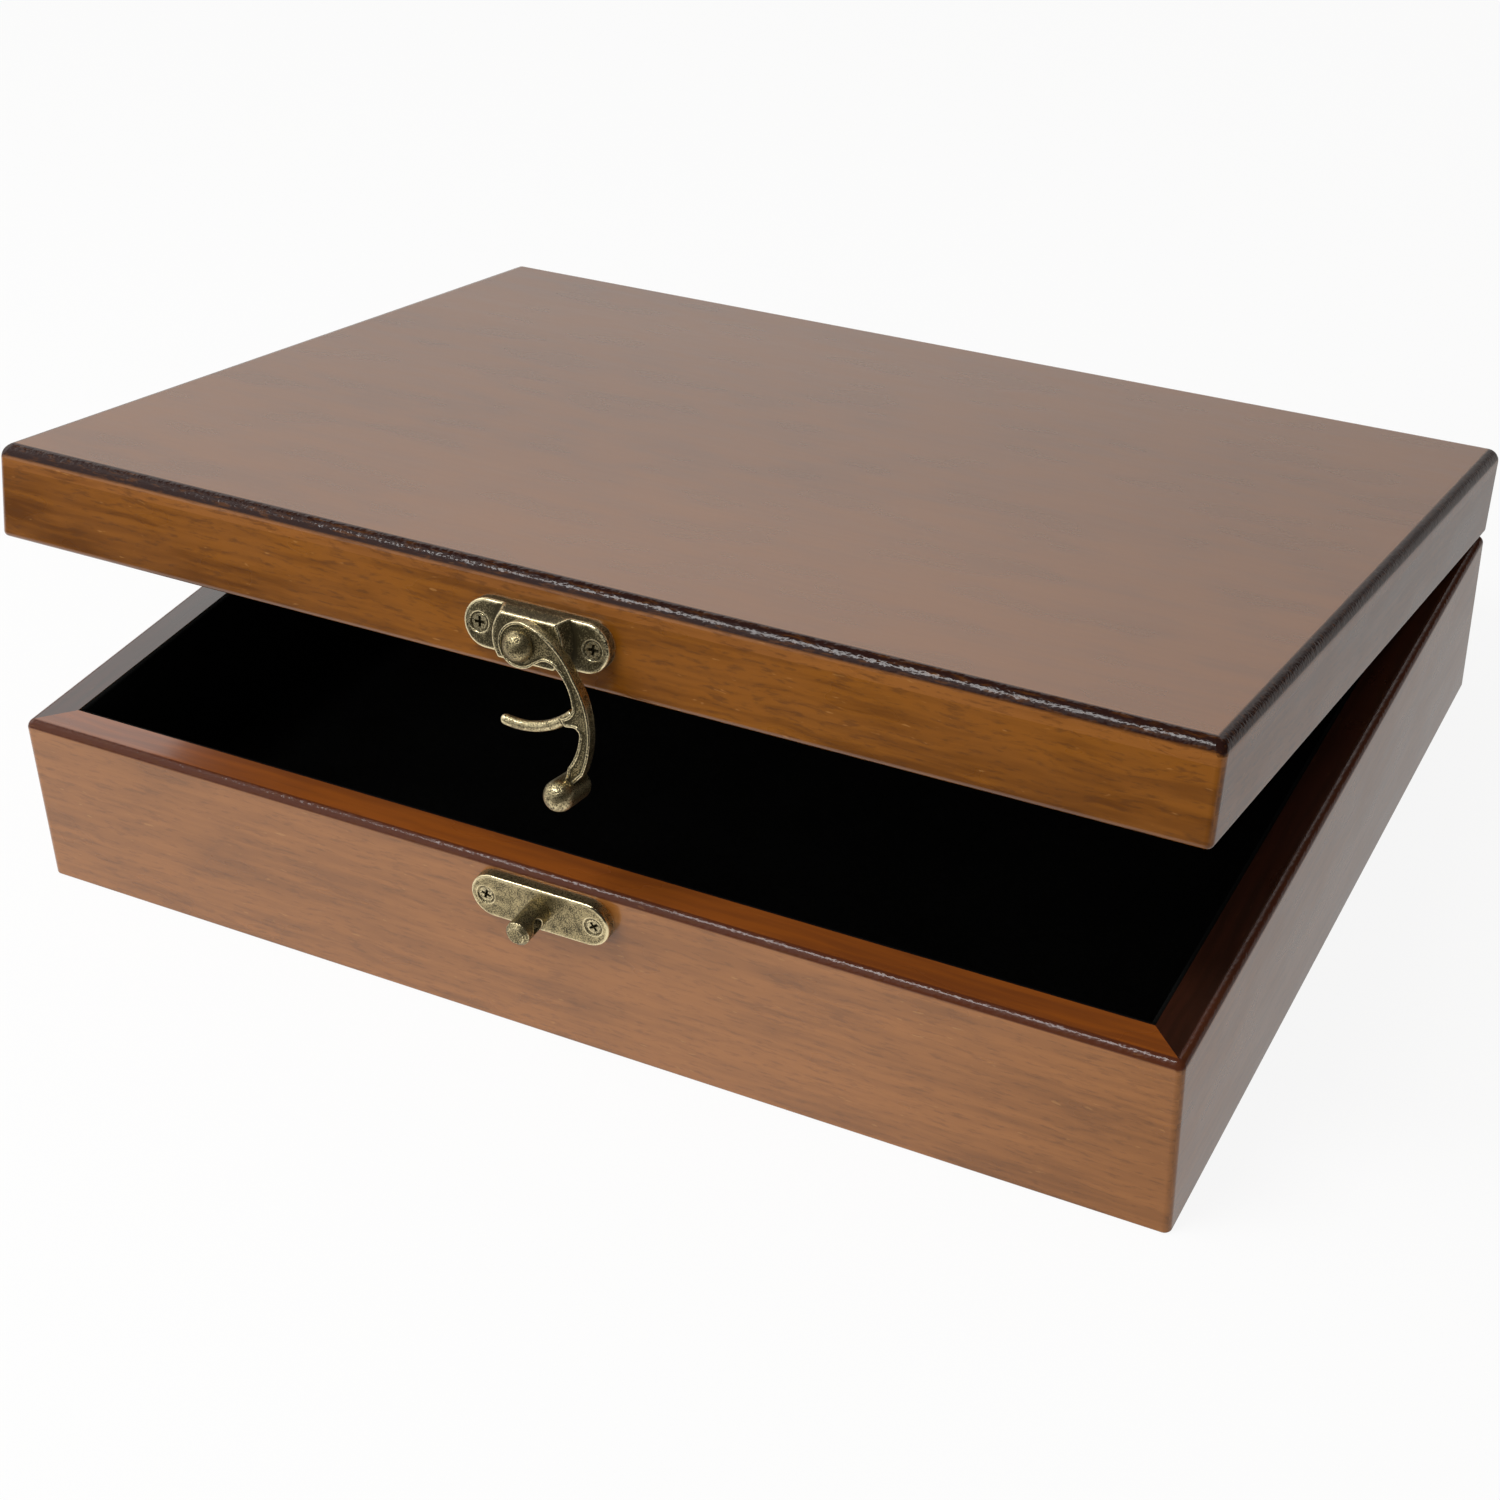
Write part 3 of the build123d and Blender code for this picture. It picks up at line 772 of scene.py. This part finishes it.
head, shank, rim_width = given["Head Radius"], given["Shank Radius"], given["Rim"]
cone_height = number("SUBTRACT", head, shank)
body_height = number("SUBTRACT", given["Length"], cone_height)
shank_ring = ring(shank, shank, body_height, number("MULTIPLY", given["Length"], -1.0))
head_low = number("MULTIPLY", cone_height, -1.0)
head_ring = ring(head, shank, number("SUBTRACT", cone_height, rim_width), head_low)
rim_ring = ring(number("SUBTRACT", head, rim_width), head, rim_width,
                number("MULTIPLY", rim_width, -1.0))
blank = add(screw_tree, "GeometryNodeMeshBoolean", operation="UNION", solver="EXACT")
for part in (shank_ring, head_ring, rim_ring):
    screw_tree.links.new(part, blank.inputs[1])


def bar(along_x):
    """One arm of the cross: a block that reaches down into the head."""
    long, wide = given["Cross Reach"], given["Cross Width"]
    tall = number("MULTIPLY", given["Cross Depth"], 2.0)
    size = add(screw_tree, "ShaderNodeCombineXYZ", {
        "X": long if along_x else wide, "Y": wide if along_x else long, "Z": tall})
    return add(screw_tree, "GeometryNodeMeshCube", {"Size": size.outputs[0]}).outputs["Mesh"]


cut = add(screw_tree, "GeometryNodeMeshBoolean", operation="DIFFERENCE", solver="EXACT")
screw_tree.links.new(blank.outputs["Mesh"], cut.inputs[0])
for arm in (bar(True), bar(False)):
    screw_tree.links.new(arm, cut.inputs[1])

# %% [markdown]
# ### Marking the screw
# The head's face is rubbed and the cross holds the grime. Height alone tells them apart,
# because everything below the face is either recess, cone or shank.

# %% Mark, place and finish the screws
recess_level, face_level = -0.15 * MM, -0.02 * MM
recess_rub, face_rub = -1.0, 0.45
spot = add(screw_tree, "GeometryNodeInputPosition")
depth = add(screw_tree, "ShaderNodeSeparateXYZ", {0: spot.outputs[0]}).outputs["Z"]
sunk = add(screw_tree, "ShaderNodeMapRange", {
    0: depth, 1: recess_level, 2: face_level, 3: recess_rub, 4: face_rub})
marked = add(screw_tree, "GeometryNodeStoreNamedAttribute", {
    "Geometry": cut.outputs["Mesh"], "Name": "rub", "Value": sunk.outputs[0]})
marked.data_type = "FLOAT"
placed = add(screw_tree, "GeometryNodeInstanceOnPoints", {
    "Points": given["Geometry"], "Instance": marked.outputs[0], "Rotation": given["Aim"]})
spin = add(screw_tree, "FunctionNodeRandomValue", {"Seed": given["Seed"]}, data_type="FLOAT")
spin.inputs[2].default_value = 0.0
spin.inputs[3].default_value = math.pi
spin_axis = add(screw_tree, "ShaderNodeCombineXYZ", {"Z": spin.outputs[1]})
turned = add(screw_tree, "GeometryNodeRotateInstances", {
    "Instances": placed.outputs[0], "Rotation": spin_axis.outputs[0]})
turned.inputs["Local Space"].default_value = True
real = add(screw_tree, "GeometryNodeRealizeInstances", {"Geometry": turned.outputs[0]})
coloured = add(screw_tree, "GeometryNodeSetMaterial", {
    "Geometry": real.outputs[0], "Material": given["Material"]})
screw_tree.links.new(coloured.outputs[0], made[0])
print("screw tree has", len(screw_tree.nodes), "nodes")


# %% Drive the screws home
screw_rim = 0.16 * MM
# The cross as shares of the head's radius.
cross_reach, cross_width, cross_depth = 1.24, 0.34, 0.5


def solid_centres(node, body):
    """The middle of each separate solid of a part, with the lid shut."""
    mesh = bmesh.new()
    mesh.from_mesh(nodes[node].data)
    bmesh.ops.remove_doubles(mesh, verts=mesh.verts, dist=weld_distance)
    left = set(mesh.verts)
    middles = []
    while left:
        found, stack = set(), [left.pop()]
        while stack:
            vertex = stack.pop()
            found.add(vertex)
            for edge in vertex.link_edges:
                other = edge.other_vert(vertex)
                if other in left:
                    left.discard(other)
                    stack.append(other)
        spots = np.array([shut[body] @ v.co for v in found])
        middles.append(Vector((spots.min(0) + spots.max(0)) / 2))
    mesh.free()
    return sorted(middles, key=lambda place: place.x)


def screws(node, body, facing_out, head_radius, shank_radius, length, material, slot, seed):
    """The screws of one part, standing where its solids stand."""
    out = Vector(facing_out)
    tops = [middle + out * length / 2 for middle in solid_centres(node, body)]
    data = bpy.data.meshes.new(node + "_points")
    data.from_pydata([shut[body].inverted() @ top for top in tops], [], [])
    points = link(node + "_points", data)
    way = shut[body].inverted().to_3x3() @ out
    settings = {
        "Head Radius": head_radius, "Shank Radius": shank_radius, "Length": length,
        "Rim": screw_rim, "Cross Reach": cross_reach * head_radius,
        "Cross Width": cross_width * head_radius, "Cross Depth": cross_depth * head_radius,
        "Aim": way.to_track_quat("Z", "Y").to_euler(),
        "Seed": seed, "Material": material,
    }
    modifier = points.modifiers.new("screws", "NODES")
    modifier.node_group = screw_tree
    for item in screw_tree.interface.items_tree:
        if item.name in settings:
            modifier[item.identifier] = settings[item.name]
    depsgraph = bpy.context.evaluated_depsgraph_get()
    data = bpy.data.meshes.new_from_object(points.evaluated_get(depsgraph))
    bpy.data.objects.remove(points)
    data.name = node + "_cross_head"
    piece = link(node + "_cross_head", data)
    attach(piece, body)
    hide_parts(node)
    print(node, "has", len(tops), "screws and", len(data.polygons), "faces")


screw_brass = aged_brass("screw_brass", 0.95)
hinge_brass = aged_brass("hinge_brass", 0.30)
# Head radius, shank radius and length, with the finish and its slot.
latch_sizes = (2.05 * MM, 1.1 * MM, 8.4 * MM, screw_brass, "antique_brass")
hinge_sizes = (1.8 * MM, 0.95 * MM, 8.0 * MM, screw_brass, "hinge_brass")
screws("catch_screws", "base", (0, -1, 0), *latch_sizes, seed=3)
screws("latch_screws", "lid", (0, -1, 0), *latch_sizes, seed=5)
screws("hinge_base_screws", "base", (0, 0, 1), *hinge_sizes, seed=7)
screws("hinge_lid_screws", "lid", (0, 0, -1), *hinge_sizes, seed=9)

# %% [markdown]
# ## Hinges
# The two butt hinges at the back are pressed from sheet and rolled round a pin. Their measured
# parts already have the right shape, knuckles included, so they stay and only get their finish.

# %% Finish the hinges
for side in ("left", "right"):
    for part in ("base_leaf", "lid_leaf", "pin"):
        node = f"hinge_{side}_{part}"
        dress(nodes[node], hinge_brass)

# %% [markdown]
# ## The camera
# The view is from above the right front corner. These numbers were solved from the box's own
# straight edges, which give the direction, the distance and the lens together. The lens is shifted
# a little sideways, as when a picture has been cropped off centre.

# %% Place the camera
camera_place = Vector((270.9, -533.0, 414.2)) * MM
camera_turn, camera_pitch, camera_roll = (math.radians(a) for a in (30.21, 34.07, -2.96))
focal_pixels, frame_pixels = 2682.8, 1500
back = Vector((
    math.sin(camera_turn) * math.cos(camera_pitch),
    -math.cos(camera_turn) * math.cos(camera_pitch),
    math.sin(camera_pitch),
))
level = Vector((math.cos(camera_turn), math.sin(camera_turn), 0))
above = back.cross(level)
right = level * math.cos(camera_roll) + above * math.sin(camera_roll)
up = above * math.cos(camera_roll) - level * math.sin(camera_roll)
lens = bpy.data.cameras.new("camera")
lens.sensor_width = 36.0
lens.lens = focal_pixels / frame_pixels * lens.sensor_width
lens.shift_x = 0.0639
lens.shift_y = -0.0005
lens.clip_start = 0.01
camera = bpy.data.objects.new("camera", lens)
bpy.context.scene.collection.objects.link(camera)
camera_axes = Matrix((right, up, back)).transposed().to_4x4()
camera.matrix_world = Matrix.Translation(camera_place) @ camera_axes
bpy.context.scene.camera = camera
bpy.context.scene.view_settings.view_transform = "Standard"
print("lens in mm:", round(lens.lens, 1))

# %% [markdown]
# ## Soft studio light
# A slim lamp hangs high up, in front and to the left, and its reflection runs along the rounded
# edges as a pebbled streak. A broad lamp stands at the left, and the room adds a little light,
# most of it from the front left. What gloss and metal show matters as much: a pale wall behind
# that is brighter higher up and a little dimmer to the right, a pale table below, and a dark room
# on the camera's side. The world gives the pale wall only to glossy rays, and is plain white to
# the camera, so the background stays white without more light on the box.

# %% Light the box
def soft_lamp(name, place, aim, size, depth, lit):
    """A flat lamp aimed at a spot, at the level a white card facing it there would show."""
    lamp = bpy.data.lights.new(name, "AREA")
    lamp.shape = "RECTANGLE"
    lamp.size = size
    lamp.size_y = depth
    aim = Vector(aim)
    away = (Vector(place) - aim).length
    lamp.energy = lit * math.pi**2 * away**2
    holder = bpy.data.objects.new(name, lamp)
    bpy.context.scene.collection.objects.link(holder)
    holder.location = place
    holder.rotation_euler = (aim - Vector(place)).to_track_quat("-Z", "Y").to_euler()


soft_lamp("overhead_lamp", (-0.28, -0.50, 1.00), (-0.28, 0, 0.05), 0.60, 0.24, 0.44)
soft_lamp("side_lamp", (-0.72, -0.64, 0.66), (0, 0, 0.05), 1.50, 1.50, 0.33)

world = bpy.data.worlds.new("studio")
bpy.context.scene.world = world
world.use_nodes = True
sky = world.node_tree
sky.nodes.clear()
sky_math = partial(calc, sky)
dark_room = 0.02
wall_foot, wall_rise, wall_right_loss = 0.29, 1.80, 0.09
fill_least, fill_rise = 0.30, 0.70

rays = sky.nodes.new("ShaderNodeLightPath")
sky_spot = sky.nodes.new("ShaderNodeTexCoord")
direction = add(sky, "ShaderNodeSeparateXYZ", {0: sky_spot.outputs["Generated"]})
behind = sky_math("MULTIPLY", soft_mask(sky, direction.outputs["Y"], -0.45, -0.05),
                  soft_mask(sky, direction.outputs["X"], 0.45, 0.05))
low_down = soft_mask(sky, direction.outputs["Z"], 0.80, 0.62)
wall_slope = sky_math("ADD", wall_foot, sky_math("MULTIPLY", direction.outputs["Z"], wall_rise))
to_the_right = soft_mask(sky, direction.outputs["X"], -0.45, -0.15)
wall_level = sky_math(
    "SUBTRACT", wall_slope, sky_math("MULTIPLY", to_the_right, wall_right_loss))
wall = sky_math("ADD", dark_room, sky_math(
    "MULTIPLY", sky_math("MULTIPLY", behind, low_down), wall_level))
open_side = sky_math("MULTIPLY", soft_mask(sky, direction.outputs["Y"], 0.30, -0.70),
                     soft_mask(sky, direction.outputs["X"], 0.60, -0.30))
fill_level = sky_math("ADD", fill_least, sky_math("MULTIPLY", open_side, fill_rise))
room_fill = add(sky, "ShaderNodeBackground", {
    "Color": (1.0, 0.98, 0.95, 1), "Strength": fill_level})
pale_wall = add(sky, "ShaderNodeBackground", {"Color": (1.0, 0.99, 0.97, 1), "Strength": wall})
white = add(sky, "ShaderNodeBackground", {"Color": (1, 1, 1, 1), "Strength": 1.0})
shown_gloss = add(sky, "ShaderNodeMixShader", {
    0: rays.outputs["Is Glossy Ray"], 1: room_fill.outputs[0], 2: pale_wall.outputs[0]})
shown = add(sky, "ShaderNodeMixShader", {
    0: rays.outputs["Is Camera Ray"], 1: shown_gloss.outputs[0], 2: white.outputs[0]})
sky.links.new(shown.outputs[0], sky.nodes.new("ShaderNodeOutputWorld").inputs[0])

# %% [markdown]
# ## The table
# The table is a plain pale sheet. To the camera it is nearly white and keeps a soft shadow. To
# gloss it is pale close to the box and dimmer at the right, and it ends in front, where the dark
# room begins: that is why the tilted lid front shows its deep colour and the base front a haze.

# %% Lay the table
table_reach = 4.0
table_glow, glow_right_loss = 0.85, 0.52
camera_white = 0.90
grey_paper, pale_paper, shown_paper = (
    (0.48, 0.46, 0.44, 1), (0.88, 0.87, 0.84, 1), (0.92, 0.92, 0.92, 1))
table_mesh = bpy.data.meshes.new("table")
table_mesh.from_pydata(
    [(x * table_reach, y * table_reach, 0.0) for x, y in ((-1, -1), (1, -1), (1, 1), (-1, 1))],
    [], [(0, 1, 2, 3)],
)
table = link("table", table_mesh)
table_material = bpy.data.materials.new("pale_table")
table_material.use_nodes = True
top = table_material.node_tree
top.nodes.clear()
top_math = partial(calc, top)
top_rays = top.nodes.new("ShaderNodeLightPath")
top_place = top.nodes.new("ShaderNodeTexCoord")
top_spot = add(top, "ShaderNodeSeparateXYZ", {0: top_place.outputs["Object"]})
near = soft_mask(top, top_spot.outputs["Y"], -0.42, -0.26)
right_side = soft_mask(top, top_spot.outputs["X"], 0.04, 0.20)
near_level = top_math(
    "SUBTRACT", table_glow, top_math("MULTIPLY", right_side, glow_right_loss))
glow = top_math("ADD", dark_room, top_math("MULTIPLY", near, near_level))
in_front = soft_mask(top, top_spot.outputs["Y"], -0.05, -0.15)
unseen_tone = blend_colour(top, in_front, grey_paper, pale_paper)
paper_tone = blend_colour(top, top_rays.outputs["Is Camera Ray"], unseen_tone, shown_paper)
paper = add(top, "ShaderNodeBsdfDiffuse", {"Color": paper_tone})
lit_paper = add(top, "ShaderNodeEmission", {"Color": (1, 1, 1, 1), "Strength": 1.0})
seen = add(top, "ShaderNodeMixShader", {
    0: top_math("MULTIPLY", top_rays.outputs["Is Camera Ray"], camera_white),
    1: paper.outputs[0], 2: lit_paper.outputs[0]})
shine = add(top, "ShaderNodeEmission", {"Color": (1.0, 0.965, 0.94, 1), "Strength": glow})
mirrored = add(top, "ShaderNodeMixShader", {
    0: top_rays.outputs["Is Glossy Ray"], 1: seen.outputs[0], 2: shine.outputs[0]})
top.links.new(mirrored.outputs[0], top.nodes.new("ShaderNodeOutputMaterial").inputs[0])
dress(table, table_material)
table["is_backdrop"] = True

# %% [markdown]
# ## How much the box grew
# The finished box has to fill the same space as the measured one, so its growth is printed.

# %% Print the growth
new_low, new_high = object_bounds()
growth = [round(1000 * (b - a), 2) for a, b in zip(cad_high - cad_low, new_high - new_low)]
print("grown by, in mm:", growth)
